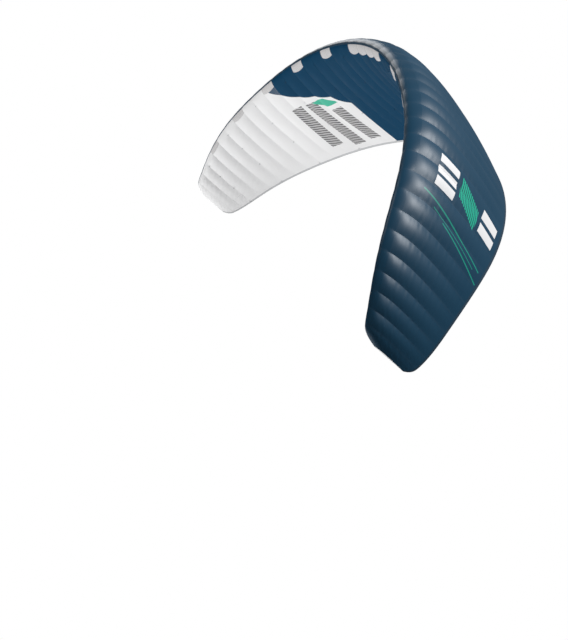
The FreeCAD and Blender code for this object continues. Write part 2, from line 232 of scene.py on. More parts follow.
def pucker(cut, along):
    """How deep the cloth is gathered near a rib, in metres."""
    seam = cut.width * np.minimum(cut.across, 1 - cut.across)
    length = along * np.abs(along) * cut.chord
    rib = np.rint(cut.rib)
    wave = np.sin(2 * math.pi * length / PUCKER_LONG + RIB_SHIFT * rib)
    second = 2 * math.pi * length / (PUCKER_LONG * SECOND_LONG) + SECOND_SHIFT * rib + 1
    wave += SECOND_DEEP * np.sin(second)
    reach = (seam / PUCKER_FADE) * np.exp(1 - seam / PUCKER_FADE)
    behind_nose = np.clip((np.abs(along) - PUCKER_FROM) / PUCKER_GROW, 0, 1)
    before_hem = np.clip((1 - np.abs(along)) / PUCKER_HEM, 0, 1)
    return PUCKER_DEEP * 0.5 * (1 + wave / (1 + SECOND_DEEP)) * reach * behind_nose * before_hem


print("puckers up to", PUCKER_DEEP * 1000, "mm deep,", PUCKER_LONG * 1000, "mm apart")

# %% [markdown]
# A skin is sewn from one strip per cell. Each strip starts as a flat grid, whose points are then
# moved to their places on the wing. Strips that end at the same rib share its points, so after a
# merge the skin is one continuous sheet with a soft crease at every rib. Each point also remembers
# where it is on the cloth, in ribs and in metres, and the materials draw seams, prints and weave
# from those numbers.

# %% From a grid to a piece with a thickness
CLOTH_THICK, MERGE_WITHIN = 0.0005, 1e-5
CREASE_ANGLE = math.radians(12)


def grid_of(across, rows):
    """A flat grid's points, from 0 to 1 both ways, and its faces."""
    u, t = np.meshgrid(np.linspace(0, 1, across + 1), np.linspace(0, 1, rows + 1))
    first = (np.arange(rows)[:, None] * (across + 1) + np.arange(across)).ravel()
    faces = np.stack([first, first + 1, first + across + 2, first + across + 1], 1)
    return u.ravel(), t.ravel(), faces


def only(obj):
    """Selects this object alone."""
    bpy.ops.object.select_all(action="DESELECT")
    obj.select_set(True)
    bpy.context.view_layer.objects.active = obj


def new_piece(name, points, faces, marks):
    """A mesh object with an attribute for each mark."""
    mesh = bpy.data.meshes.new(name)
    mesh.from_pydata(points.tolist(), [], faces.tolist())
    for mark, values in marks.items():
        kind, field = ("FLOAT", "value") if values.ndim == 1 else ("FLOAT_VECTOR", "vector")
        made = mesh.attributes.new(mark, kind, "POINT")
        made.data.foreach_set(field, values.astype(np.float32).ravel())
    piece = bpy.data.objects.new(name, mesh)
    bpy.context.scene.collection.objects.link(piece)
    return piece


def merge(piece, within=MERGE_WITHIN, outward=False):
    """Merges points that lie together and, if asked, turns the faces outward."""
    only(piece)
    bpy.ops.object.mode_set(mode="EDIT")
    bpy.ops.mesh.select_all(action="SELECT")
    bpy.ops.mesh.remove_doubles(threshold=within)
    if outward:
        bpy.ops.mesh.normals_make_consistent(inside=False)
    bpy.ops.object.mode_set(mode="OBJECT")


def finish_mesh(piece, thickness=CLOTH_THICK, offset=-1.0):
    """Merges shared points, gives the sheet a thickness and shades it smooth but for creases."""
    merge(piece)
    area = sum(face.area for face in piece.data.polygons)
    wall = piece.modifiers.new("Wall", "SOLIDIFY")
    wall.thickness, wall.offset = thickness, offset
    bpy.ops.object.modifier_apply(modifier=wall.name)
    bpy.ops.object.shade_smooth_by_angle(angle=CREASE_ANGLE)
    return area


print("a full strip has", len(grid_of(12, 100)[2]), "faces")

# %% Sew strips into one sheet
BILLOW_SPARE = 1.04
# A strip stops just short of its ribs, so that each of its points belongs to one cell.
RIB_EDGE = 1e-9


def strips_of(cells, first, last):
    """One strip per cell between two edges. Each edge turns a cell and shares of it into along."""
    return [(cell, first, last) for cell in cells]


def cut_at(share):
    """A straight cut at one share of the chord; a minus sign means on the underside."""
    return lambda cell, u: np.full_like(u, math.copysign(math.sqrt(abs(share)), share))


def sewn_skin(
    name, side, strips, across=12, rows=100, sink=0.0, puckered=True, gap=0.0, thickness=CLOTH_THICK
):
    """One sheet sewn from strips. gap keeps its sides off the ribs, and sink sets it inside."""
    u, t, faces = grid_of(across, rows)
    points, quads, cloth, place, seams = [], [], [], [], []
    for n, (cell, first, last) in enumerate(strips):
        margin = gap / CELL_WIDTHS[cell - 1]
        inside = np.clip(margin + (1 - 2 * margin) * u, RIB_EDGE, 1 - RIB_EDGE)
        rib = cell - 1 + inside
        start, end = first(cell, inside), last(cell, inside)
        along = start + (end - start) * t
        cut = Slice(rib)
        y, z = cut.plane(along, sink + (pucker(cut, along) if puckered else 0.0))
        points.append(cut.place(side, y, z) - ORIGIN)
        quads.append(faces + n * len(u))
        share = along * np.abs(along)
        cloth.append(np.stack([cut.at * HALF_SPAN, share * cut.chord, 0 * rib], 1))
        place.append(np.stack([rib, share, 0 * rib], 1))
        seams.append(cut.width * np.minimum(cut.across, 1 - cut.across))
    quads = np.concatenate(quads)
    if side < 0:
        quads = quads[:, ::-1]
    remembered = {"cloth": cloth, "place": place, "seam": seams}
    marks = {mark: np.concatenate(values) for mark, values in remembered.items()}
    piece = new_piece(name, np.concatenate(points), quads, marks)
    area = finish_mesh(piece, thickness)
    middle = np.stack([strip[across // 2 :: across + 1] for strip in points])
    long = float(np.linalg.norm(np.diff(middle, axis=1), axis=2).sum(1).max())
    wide = float(BILLOW_SPARE * sum(CELL_WIDTHS[cell - 1] for cell, _, _ in strips))
    count = len(piece.data.polygons)
    print(f"{name}: {count} faces, {area:.3f} m2 of cloth cut from {wide:.2f} x {long:.2f} m")
    return piece, area, (wide, long)


# %% [markdown]
# Shader maths reads best as plain arithmetic. A Value wraps a socket, and an operator on it adds a
# Math node, so that 1 - mask works as written. A Finish is one material with one way to add any
# node. A mask is a Value that is 1 where something is painted and 0 elsewhere.

# %% A small language for finishes
class Value:
    """A socket that can be used like a number."""

    def __init__(self, finish, socket):
        self.finish, self.socket = finish, socket

    def maths(self, operation, *values):
        inputs = dict(enumerate(values))
        return self.finish.node("ShaderNodeMath", {"operation": operation}, inputs)

    def __add__(self, other): return self.maths("ADD", self, other)
    def __sub__(self, other): return self.maths("SUBTRACT", self, other)
    def __mul__(self, other): return self.maths("MULTIPLY", self, other)
    def __truediv__(self, other): return self.maths("DIVIDE", self, other)
    def __rsub__(self, other): return self.maths("SUBTRACT", other, self)
    def __gt__(self, other): return self.maths("GREATER_THAN", self, other)
    def __lt__(self, other): return self.maths("LESS_THAN", self, other)
    __radd__, __rmul__ = __add__, __mul__

    def repeat(self): return self.maths("FRACT", self)
    def floor(self): return self.maths("FLOOR", self)
    def size(self): return self.maths("ABSOLUTE", self)
    def wave(self): return self.maths("SINE", self)
    def at_least(self, other): return self.maths("MAXIMUM", self, other)
    def between(self, low, high): return (self > low) * (self < high)


def any_of(masks):
    """The highest of several values: for masks, painted wherever one of them is."""
    highest = masks[0]
    for mask in masks[1:]:
        highest = highest.at_least(mask)
    return highest


class Finish:
    """A material with a Principled shader. Plain numbers go straight on the shader's sockets."""

    def __init__(self, name, fixed):
        self.material = bpy.data.materials.new(name)
        self.material.use_nodes = True
        self.tree = self.material.node_tree
        self.shader = self.tree.nodes["Principled BSDF"]
        for socket, value in fixed.items():
            self.shader.inputs[socket].default_value = value

    def node(self, kind, settings, inputs, output=0):
        made = self.tree.nodes.new(kind)
        for key, value in settings.items():
            setattr(made, key, value)
        for key, value in inputs.items():
            if isinstance(value, Value):
                self.tree.links.new(value.socket, made.inputs[key])
            else:
                made.inputs[key].default_value = value
        return Value(self, made.outputs[output])

    def axis(self, vector, name):
        return self.node("ShaderNodeSeparateXYZ", {}, {"Vector": vector}, name)

    def mark(self, name, axis=None):
        """A number that the cloth's points remember, or one axis of a vector."""
        settings = {"attribute_name": name}
        if axis is None:
            return self.node("ShaderNodeAttribute", settings, {}, "Fac")
        return self.axis(self.node("ShaderNodeAttribute", settings, {}, "Vector"), axis)

    def place(self):
        return self.node("ShaderNodeTexCoord", {}, {}, "Object")

    def noise(self, scale, detail=2.0):
        """Noise in the object's own space, around 0.5. scale is how many patches a metre holds."""
        inputs = {"Vector": self.place(), "Scale": scale, "Detail": detail}
        return self.node("ShaderNodeTexNoise", {}, inputs, "Fac")

    def blend(self, share, first, second):
        """A colour that turns from first to second."""
        inputs = {0: share, 6: first, 7: second}
        return self.node("ShaderNodeMix", {"data_type": "RGBA"}, inputs, 2)

    def feed(self, socket, value):
        self.tree.links.new(value.socket, self.shader.inputs[socket])

    def bump(self, height, strength, distance):
        """Relief from a height in metres times distance."""
        inputs = {"Height": height, "Strength": strength, "Distance": distance}
        self.feed("Normal", self.node("ShaderNodeBump", {}, inputs, "Normal"))


# %% [markdown]
# Kite cloth is ripstop: a thin coated nylon with a stronger thread every five millimetres both
# ways. The coating gives it a satin gloss. Two rows of stitches follow each rib. The colour varies
# a little from roll to roll and panel to panel, and the cloth is palest where the seams rub.

# %% Ripstop finish
RIPSTOP_STEP, STRONG_THREAD = 0.005, 0.14
STITCH_STEP, STITCH_LONG, STITCH_ROWS = 0.0045, 0.7, ((0.0030, 0.0042), (0.0075, 0.0087))
ROLL_PATCHES, ROLL_VARIES, PANEL_VARIES, PALER, DARKER = 1.3, 0.5, 0.10, 1.10, 0.90
PANEL_HASH = (12.9898, 43758.5453)
RUB_FALL, RUB_MOST, THREAD_SHOWS, STITCH_SHOWS = 120, 0.35, 0.10, 0.4
CRINKLES, THREAD_HIGH, STITCH_HIGH, CRINKLE_HIGH = 22.0, 0.05, 0.3, 0.9
RELIEF, RELIEF_DEEP, ROLL_ROUGHER, STITCH_ROUGHER = 0.3, 0.001, 0.12, 0.2


def tone(colour, factor):
    """The same colour, lighter or darker."""
    return tuple(min(1, part * factor) for part in colour[:3]) + (1,)


def ripstop(name, colour, worn, thread, roughness, prints=None, specular=0.4):
    """A cloth finish. prints paints the cloth's colour further from the place on the wing."""
    finish = Finish(name, {"Specular IOR Level": specular})
    across, length = finish.mark("cloth", "X"), finish.mark("cloth", "Y")
    rib, share = finish.mark("place", "X"), finish.mark("place", "Y").size()
    seam = finish.mark("seam")
    strong = any_of([(way / RIPSTOP_STEP).repeat() < STRONG_THREAD for way in (across, length)])
    roll = finish.noise(ROLL_PATCHES) - 0.5
    panel = ((rib.floor() * PANEL_HASH[0]).wave() * PANEL_HASH[1]).repeat() - 0.5
    shade = roll * ROLL_VARIES + panel * PANEL_VARIES + 0.5
    base = finish.blend(shade, tone(colour, DARKER), tone(colour, PALER))
    base = finish.blend((1 - seam * RUB_FALL).at_least(0) * RUB_MOST, base, worn)
    base = finish.blend(strong * THREAD_SHOWS, base, worn)
    if prints:
        base = prints(finish, rib, share, length, base)
    rows = any_of([seam.between(*row) for row in STITCH_ROWS])
    stitches = rows * ((length / STITCH_STEP).repeat() < STITCH_LONG)
    finish.feed("Base Color", finish.blend(stitches * STITCH_SHOWS, base, thread))
    finish.feed("Roughness", roughness + roll * ROLL_ROUGHER + stitches * STITCH_ROUGHER)
    relief = strong * THREAD_HIGH + stitches * STITCH_HIGH + finish.noise(CRINKLES) * CRINKLE_HIGH
    finish.bump(relief, RELIEF, RELIEF_DEEP)
    return finish


# %% [markdown]
# Real kites carry printed graphics. These are plain slanted bars and lines that stand for no mark:
# white and striped green bars with fine green lines on top of the left wing, and hatched grey bars
# with one green bar under the right wing. A bar is a mask around a straight line on the cloth.

# %% Printed bars
NAVY, PALE_NAVY = (0.0055, 0.047, 0.094, 1), (0.02, 0.065, 0.12, 1)
BLUE, PALE_BLUE = (0.0006, 0.042, 0.098, 1), (0.004, 0.05, 0.105, 1)
WHITE, PAPER = (0.79, 0.79, 0.795, 1), (0.82, 0.82, 0.83, 1)
GREEN, INK = (0.012, 0.42, 0.27, 1), (0.065, 0.062, 0.066, 1)

# Each bar: its start and its end, both as rib and share of the chord, and half its width in ribs.
WHITE_BARS = [((rib, 0.24), (rib, 0.43), 0.21) for rib in (10.5, 11.1, 11.7)]
WHITE_BARS += [((rib, 0.74), (rib, 0.93), 0.26) for rib in (10.75, 11.55)]
STRIPED_BAR, STRIPE_STEP, STRIPE_WIDE = ((10.9, 0.47), (11.5, 0.70), 0.55), 0.024, 0.66
FINE_LINES = [
    ((12.5, 0.17), (13.3, 0.93), 0.035), ((12.9, 0.30), (13.5, 0.86), 0.02),
    ((13.2, 0.42), (13.9, 0.96), 0.035),
]
HATCHED_BARS = [
    ((7.4, 0.50), (7.1, 0.90), 0.42), ((8.7, 0.36), (8.5, 0.92), 0.42),
    ((9.8, 0.34), (9.9, 0.86), 0.42),
]
UNDER_BAR = ((8.05, 0.365), (7.35, 0.455), 0.50)
# Hatching: lines per chord, their lean per rib, a slight wave along them, and their width.
HATCH_LINES, HATCH_LEAN, HATCH_WAVES, HATCH_BENDS, HATCH_WIDE = 34, 2.5, 5, 0.25, 0.60
GROUND_SHOWS, HATCH_SHOWS, FINE_LINE_SHOWS = 0.30, 0.66, 0.6
# The blue triangle behind the fourth intake: its ribs, its share at the first, its fall per rib.
CORNER_RIBS, CORNER_SHARE, CORNER_FALL = (10, 10.6), 0.16, 0.15


def bar(rib, share, start, end, half):
    """A mask from start to end that reaches half to each side."""
    t = (share - start[1]) / (end[1] - start[1])
    centre = t * (end[0] - start[0]) + start[0]
    return ((rib - centre).size() < half) * t.between(0, 1)


def bars(rib, share, listed):
    return any_of([bar(rib, share, *each) for each in listed])


def top_prints(finish, rib, share, length, base):
    base = finish.blend(bars(rib, share, WHITE_BARS), base, PAPER)
    stripes = bar(rib, share, *STRIPED_BAR) * ((length / STRIPE_STEP).repeat() < STRIPE_WIDE)
    lines = bars(rib, share, FINE_LINES)
    return finish.blend(stripes + lines * FINE_LINE_SHOWS, base, GREEN)


def blue_corner(finish, rib, share, length, base):
    """The blue of the centre runs on into a small triangle behind the fourth intake."""
    low, high = CORNER_RIBS
    corner = rib.between(low, high) * (share < CORNER_SHARE - (rib - low) * CORNER_FALL)
    return finish.blend(corner, base, BLUE)


def under_prints(finish, rib, share, length, base):
    base = blue_corner(finish, rib, share, length, base)
    bend = (rib * HATCH_WAVES).wave() * HATCH_BENDS
    hatch = (share * HATCH_LINES + rib * HATCH_LEAN + bend).repeat() < HATCH_WIDE
    hatched = bars(rib, share, HATCHED_BARS) * (GROUND_SHOWS + hatch * HATCH_SHOWS)
    base = finish.blend(hatched, base, INK)
    return finish.blend(bar(rib, share, *UNDER_BAR), base, GREEN)


bars_above, bars_below = len(WHITE_BARS) + 1 + len(FINE_LINES), len(HATCHED_BARS) + 1
print("bars and lines:", bars_above, "above,", bars_below, "below")

# %% The cloths
DARK_THREAD, PALE_THREAD = (0.006, 0.015, 0.03, 1), (0.55, 0.55, 0.56, 1)
nose_finish = ripstop("navy ripstop, nose", NAVY, PALE_NAVY, DARK_THREAD, 0.33)
navy_cloth = dict(colour=NAVY, worn=PALE_NAVY, thread=DARK_THREAD, roughness=0.45, specular=0.3)
top_finish = {
    "left": ripstop("navy ripstop, printed", prints=top_prints, **navy_cloth),
    "right": ripstop("navy ripstop", **navy_cloth),
}
blue_finish = ripstop("blue ripstop", BLUE, PALE_BLUE, DARK_THREAD, 0.6, specular=0.05)
white_finish = {
    "left": ripstop("white ripstop", WHITE, WHITE, PALE_THREAD, 0.50, blue_corner),
    "right": ripstop("white ripstop, printed", WHITE, WHITE, PALE_THREAD, 0.50, under_prints),
}
flap_finish = ripstop("valve cloth", (0.70, 0.71, 0.73, 1), WHITE, PALE_THREAD, 0.5)
print("cloth finishes:", len(bpy.data.materials))

# %% [markdown]
# The intakes are covered with an open mesh that lets air in and keeps sand out. From a few metres
# it reads as light grey with a fine grid. A darker tape holds it at the ribs, and that band is also
# painted shade between the billowed screens. Tape and webbing are heavy weaves. The battens are
# pale moulded plastic with faint streaks.

# %% Mesh, tape, webbing and plastic finishes
WEAVE_SPECULAR, WEAVE_RELIEF, WEAVE_PATCHES, WEBBING_STEP = 0.35, 0.5, 9.0, 0.0016
WEFT_LEAN, WORN_TONE, WORN_SHOWS, WORN_ROUGHER = 0.3, 0.8, 0.5, 0.2
# The dark band at the ribs of the intake mesh is its seam tape, painted darker still as shade
# between the billowed screens: its colour, its reach from the rib and how strongly it shows.
SCREEN_TAPE_AND_SHADE, TAPE_AND_SHADE_WIDE, TAPE_AND_SHADE_SHOWS = (0.30, 0.30, 0.31, 1), 0.0045, 0.7
TAPE_BELOW = (0.50, 0.51, 0.52, 1)


def woven(name, colour, dark, step, roughness, depth, on_cloth=False, over=None):
    """A visible weave of threads one step apart. over paints its colour further."""
    finish = Finish(name, {"Specular IOR Level": WEAVE_SPECULAR})
    if on_cloth:
        warp, weft = finish.mark("cloth", "X"), finish.mark("cloth", "Y")
    else:
        x, y, z = (finish.axis(finish.place(), axis) for axis in "XYZ")
        warp, weft = x + z, y + z * WEFT_LEAN
    threads = any_of([(way * (2 * math.pi / step)).wave() * 0.5 + 0.5 for way in (warp, weft)])
    patchy = finish.noise(WEAVE_PATCHES) - 0.5
    base = finish.blend(threads, dark, colour)
    base = finish.blend(patchy.at_least(0) * WORN_SHOWS, base, tone(colour, WORN_TONE))
    if over:
        base = over(finish, base)
    finish.feed("Base Color", base)
    finish.feed("Roughness", roughness + patchy * WORN_ROUGHER)
    finish.bump(threads, WEAVE_RELIEF, depth)
    return finish


# Painted shade: the seam tape at each rib of the intake mesh is painted dark grey, which also
# stands in for the shade between the billowed screens.
def tape_and_shade_at_ribs(finish, base):
    return finish.blend((finish.mark("seam") < TAPE_AND_SHADE_WIDE) * TAPE_AND_SHADE_SHOWS, base, SCREEN_TAPE_AND_SHADE)


def pale_below(finish, base):
    """Navy above and grey below: the side is the sign of the place on the aerofoil."""
    return finish.blend(finish.mark("place", "Y") < 0, base, TAPE_BELOW)


screen_finish = woven(
    "intake mesh", (0.66, 0.65, 0.65, 1), (0.42, 0.41, 0.42, 1),
    step=0.0022, roughness=0.7, depth=0.0004, on_cloth=True, over=tape_and_shade_at_ribs,
)
hem_finish = woven(
    "edge tape", (0.010, 0.042, 0.078, 1), (0.005, 0.022, 0.042, 1),
    step=WEBBING_STEP, roughness=0.65, depth=0.0002, on_cloth=True, over=pale_below,
)
webbing_colours = {
    "white": ((0.62, 0.63, 0.64, 1), (0.40, 0.41, 0.42, 1)),
    "blue": ((0.006, 0.05, 0.10, 1), (0.003, 0.03, 0.06, 1)),
}
webbing_finish = {
    colour: woven(f"{colour} webbing", pale, dark, WEBBING_STEP, roughness=0.7, depth=0.0003)
    for colour, (pale, dark) in webbing_colours.items()
}
rib_finish = woven(
    "rib ripstop", (0.76, 0.77, 0.78, 1), (0.66, 0.67, 0.68, 1),
    step=RIPSTOP_STEP, roughness=0.6, depth=0.0001,
)

STREAKS, STREAK_DETAIL, PLASTIC_ROUGH, STREAK_ROUGHER, STREAK_DEEP = 60.0, 4.0, 0.32, 0.2, 0.0002
plastic = Finish("batten plastic", {"Specular IOR Level": 0.5, "IOR": 1.49})
streaks = plastic.noise(STREAKS, STREAK_DETAIL)
plastic.feed("Base Color", plastic.blend(streaks, (0.80, 0.81, 0.78, 1), (0.88, 0.88, 0.86, 1)))
plastic.feed("Roughness", PLASTIC_ROUGH + streaks * STREAK_ROUGHER)
plastic.bump(streaks, RELIEF, STREAK_DEEP)
print("all finishes:", len(bpy.data.materials))

# %% [markdown]
# Now the skins. The nose cloth wraps the front edge from behind the top seam round to just under
# the nose. The top cloth runs from that seam to the rear edge. They replace the stiff panels, which
# stay in the model for collision. A sheet's printed size is what was cut: the flat span with a
# spare for the billow, the longest strip, and the area.

# %% Nose cloth and top cloth
NOSE_TOP, INTAKE_FRONT, INTAKE_REAR, INTAKE_BOW = 0.073, 0.009, 0.058, 0.012
REAR_DEPTH, NEAR_REAR = 0.0032, 0.999
ALL_CELLS = range(1, CELLS + 1)


def rear_along(cell, u):
    """Where the skins meet the hem, at a fixed small depth between them."""
    cut = Slice(cell - 1 + u)
    near = np.full_like(cut.chord, NEAR_REAR)
    taper = (cut.height(near) - cut.height(-near)) / (1 - NEAR_REAR**2)
    return np.sqrt(1 - REAR_DEPTH / (taper * cut.chord))


def under_rear(cell, u):
    return -rear_along(cell, u)


def dress(piece, finish, nodes, body="canopy"):
    """Gives a sheet its finish and its place in the frame, and hides the stiff parts it replaces.
    """
    piece.data.materials.clear()
    piece.data.materials.append(finish.material)
    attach(piece, body)
    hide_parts(*nodes)


for side, name in SIDES:
    strips = strips_of(ALL_CELLS, cut_at(-INTAKE_FRONT), cut_at(NOSE_TOP))
    nose, area, flat = sewn_skin(f"nose_cloth_{name}", side, strips, rows=26)
    dress(nose, nose_finish, [f"nose_panels_{name}"])
    strips = strips_of(ALL_CELLS, cut_at(NOSE_TOP), rear_along)
    top, area, flat = sewn_skin(f"top_cloth_{name}", side, strips)
    dress(top, top_finish[name], [f"top_panels_{name}"])

# %% [markdown]
# The underside is two sheets. The dark one covers the centre and the front of the middle cells, and
# its rear edge steps from rib to rib. The white one takes the rest, out to the tip. Where a cell
# has an intake, its strip starts behind the intake, so the opening is left free for the mesh. Near
# the tip the white sheet also leaves a drain opening free, so that cell has a strip in front of it
# and one behind.

# %% Underside
# The share of the chord where blue ends, at each rib. Inside the first rib all is blue.
COLOUR_BREAK = {6: 0.50, 7: 0.385, 8: 0.325, 9: 0.265, 10: 0.16}
BREAK_START, BREAK_END = min(COLOUR_BREAK), max(COLOUR_BREAK)
INTAKE_CELLS = (1, 2, 5, 8, 11, 14, 17)
DRAIN_CELL, DRAIN_FRONT, DRAIN_REAR = 19, 0.78, 0.88
UNDER_ROWS = 90


def intake_rear(cell, u):
    """The rear edge of an intake, bowed back between its two ribs."""
    return -np.sqrt(INTAKE_REAR + INTAKE_BOW * 4 * u * (1 - u))


def under_front(cell, u):
    return intake_rear(cell, u) if cell in INTAKE_CELLS else cut_at(-INTAKE_FRONT)(cell, u)


def break_line(cell, u):
    inner, outer = COLOUR_BREAK[cell - 1], COLOUR_BREAK[cell]
    return -np.sqrt(inner + (outer - inner) * u)


def blue_rear(cell, u):
    return break_line(cell, u) if cell - 1 in COLOUR_BREAK else under_rear(cell, u)


def white_front(cell, u):
    return break_line(cell, u) if cell in COLOUR_BREAK else under_front(cell, u)


blue_cells = range(1, BREAK_END + 1)
white_cells = [cell for cell in ALL_CELLS if cell > BREAK_START and cell != DRAIN_CELL]
for side, name in SIDES:
    strips = strips_of(blue_cells, blue_rear, under_front)
    blue, area, flat = sewn_skin(f"blue_under_cloth_{name}", side, strips, rows=UNDER_ROWS)
    dress(blue, blue_finish, [f"bottom_front_panels_{name}"])
    strips = strips_of(white_cells, under_rear, white_front)
    strips += strips_of([DRAIN_CELL], under_rear, cut_at(-DRAIN_REAR))
    strips += strips_of([DRAIN_CELL], cut_at(-DRAIN_FRONT), under_front)
    white, area, flat = sewn_skin(f"white_under_cloth_{name}", side, strips, rows=UNDER_ROWS)
    dress(white, white_finish[name], [f"bottom_rear_panels_{name}"])

# %% [markdown]
# A screen of open mesh covers each intake. Behind it hangs a one-way flap, a little smaller than
# the opening and hinged along its front edge, so air can push in but not out. The drain flap near
# each tip is the other way round: it opens outward to let air, sand and water out. Each flap rides
# on its own body.

# %% Screens, valve flaps and drain flaps
FLAP_SINK, FLAP_SIDE_GAP, FLAP_FRONT, FLAP_REAR_GAP = 0.0018, 0.009, 0.0098, 0.002
DRAIN_GAP, DRAIN_SIDE_GAP = 0.0006, 0.0013


def flap_rear(cell, u):
    return -np.sqrt(intake_rear(cell, u) ** 2 - FLAP_REAR_GAP)


for side, name in SIDES:
    strips = strips_of(INTAKE_CELLS, intake_rear, cut_at(-INTAKE_FRONT))
    screens, area, flat = sewn_skin(f"intake_mesh_{name}", side, strips, rows=12)
    dress(screens, screen_finish, [f"intake_screens_{name}"])
    for count, cell in enumerate(INTAKE_CELLS, 1):
        node = f"valve_flap_{name}_{count}"
        strips = strips_of([cell], flap_rear, cut_at(-FLAP_FRONT))
        flap, area, flat = sewn_skin(
            f"{node}_cloth", side, strips, rows=16,
            sink=FLAP_SINK, puckered=False, gap=FLAP_SIDE_GAP,
        )
        dress(flap, flap_finish, [node], node)
    node = f"drain_flap_{name}"
    front, rear = cut_at(-DRAIN_FRONT - DRAIN_GAP), cut_at(-DRAIN_REAR + DRAIN_GAP)
    strips = strips_of([DRAIN_CELL], rear, front)
    drain, area, flat = sewn_skin(f"{node}_cloth", side, strips, rows=24, gap=DRAIN_SIDE_GAP)
    dress(drain, white_finish[name], [node], node)

# %% [markdown]
# A folded tape binds the rear edge, where top and bottom cloth meet. It starts a little forward of
# the edge on the top, turns round it and ends as far forward on the underside, a hair outside both
# cloths. It is cut as one ribbon along the span, so its flat length counts both sides.

# %% Hem tape
TAPE_OVER, TAPE_OUT, TAPE_THICK = 0.008, 0.0003, 0.0004


def tape_top(cell, u):
    return rear_along(cell, u) - TAPE_OVER


def tape_bottom(cell, u):
    return -tape_top(cell, u)


for side, name in SIDES:
    strips = strips_of(ALL_CELLS, tape_top, cut_at(1.0))
    strips += strips_of(ALL_CELLS, cut_at(-1.0), tape_bottom)
    tape, area, flat = sewn_skin(
        f"hem_tape_{name}", side, strips, rows=4,
        sink=-TAPE_OUT, puckered=False, thickness=TAPE_THICK,
    )
    unfolded = (flat[0] / 2, flat[1] * 2)
    dress(tape, hem_finish, [f"trailing_edge_hem_{name}"])

# %% [markdown]
# Ribs are flat cloth cut to the aerofoil, with five round ports that let the air pass from cell to
# cell. A flat curve fills its outline and leaves inner circles open, so each rib is drawn as one
# such curve in its own plane, turned into a mesh and only then set on the wing. Ribs of one kind
# are joined.

# %% Draw one rib
RIB_INSET, RIB_THICK, RIB_POINTS = 0.0006, 0.0006, 121
PORTS, PORT_SHARE, PORT_POINTS = (0.14, 0.27, 0.40, 0.53, 0.66), 0.60, 32


def rib_loops(cut, rear, ports):
    """The rib's outline and a circle for each port, in the rib's own plane."""
    loops = [np.stack(cut.plane(np.linspace(-rear, rear, RIB_POINTS), RIB_INSET), 1)]
    turns = np.linspace(0, 2 * math.pi, PORT_POINTS + 1)[:-1]
    for share in ports:
        y, z = cut.plane(np.array((-math.sqrt(share), math.sqrt(share))), 0.0)
        radius = math.hypot(y[1] - y[0], z[1] - z[0]) * PORT_SHARE / 2
        circle_y = (y[0] + y[1]) / 2 + radius * np.cos(turns)
        loops.append(np.stack([circle_y, (z[0] + z[1]) / 2 + radius * np.sin(turns)], 1))
    return loops


def filled_sheet(loops, thickness):
    """A flat mesh inside the first loop and outside the others."""
    drawing = bpy.data.curves.new("rib", "CURVE")
    drawing.dimensions, drawing.fill_mode, drawing.extrude = "2D", "BOTH", thickness / 2
    for loop in loops:
        spline = drawing.splines.new("POLY")
        spline.points.add(len(loop) - 1)
        flat_points = np.hstack([loop, np.zeros((len(loop), 1)), np.ones((len(loop), 1))])
        spline.points.foreach_set("co", flat_points.ravel())
        spline.use_cyclic_u = True
    sheet = bpy.data.objects.new("rib", drawing)
    bpy.context.scene.collection.objects.link(sheet)
    only(sheet)
    bpy.ops.object.convert(target="MESH")
    return bpy.context.object


def flat_rib(side, number, ports=PORTS):
    """One rib as a mesh on the wing, with its chord and its height."""
    cut = Slice(np.full(1, float(number)))
    # A rib is trimmed at the hem line of the rib before it, and the tip rib at its own.
    hem_rib = CELLS if number == CELLS else max(number - 1, 0)
    rear = rear_along(hem_rib + 1, np.zeros(1))[0]
    sheet = filled_sheet(rib_loops(cut, rear, ports), RIB_THICK)
    corner, ahead, up = (
        cut.place(side, np.full(1, y), np.full(1, z))[0] for y, z in ((0, 0), (1, 0), (0, 1))
    )
    ahead, up = ahead - corner, up - corner
    points = np.empty(len(sheet.data.vertices) * 3)
    sheet.data.vertices.foreach_get("co", points)
    y, z, out = points.reshape(-1, 3).T[:, :, None]
    placed = corner - ORIGIN + y * ahead + z * up + out * np.cross(ahead, up)
    sheet.data.vertices.foreach_set("co", placed.ravel())
    sheet.data.update()
    return sheet, float(cut.chord[0]), float(cut.chord[0] * cut.thick[0])


print("ports along a rib at", PORTS, "of the chord")

# %% All the ribs
JOIN_WITHIN, CUT_SPARE = 2e-5, 1.05
LOADED = [3, 6, 9, 12, 15, 18]
PLAIN = [number for number in range(1, CELLS) if number not in LOADED]


def joined(name, pieces):
    """Joins pieces into one, merges what they share and turns every face outward."""
    only(pieces[0])
    for piece in pieces:
        piece.select_set(True)
    bpy.ops.object.join()
    whole = bpy.context.object
    whole.name = name
    merge(whole, JOIN_WITHIN, outward=True)
    return whole


def rib_piece(name, side, numbers, node, ports=PORTS):
    """Ribs of one kind as one piece."""
    sheets, chords, heights = zip(*(flat_rib(side, number, ports) for number in numbers))
    ribs = joined(name, sheets)
    dress(ribs, rib_finish, [node])


rib_piece("centre_rib_cloth", 1, [0], "centre_rib")
for side, name in SIDES:
    rib_piece(f"loaded_rib_cloth_{name}", side, LOADED, f"loaded_ribs_{name}")
    rib_piece(f"plain_rib_cloth_{name}", side, PLAIN, f"plain_ribs_{name}")
    rib_piece(f"tip_rib_cloth_{name}", side, [CELLS], f"tip_rib_{name}", ())

# %% [markdown]
# Diagonals are slanted webs of cloth from the foot of each loaded rib to the heads of its two
# neighbours. They share the bridle's pull among three ribs. Each is a ruled grid between two seams.

# %% Diagonals
DIAGONAL_FROM, DIAGONAL_TO, DIAGONAL_SINK, DIAGONAL_OFF = 0.12, 0.60, 0.0023, 0.0016
DIAGONAL_LONG, DIAGONAL_ACROSS, DIAGONAL_ROWS = 0.74, 6, 24


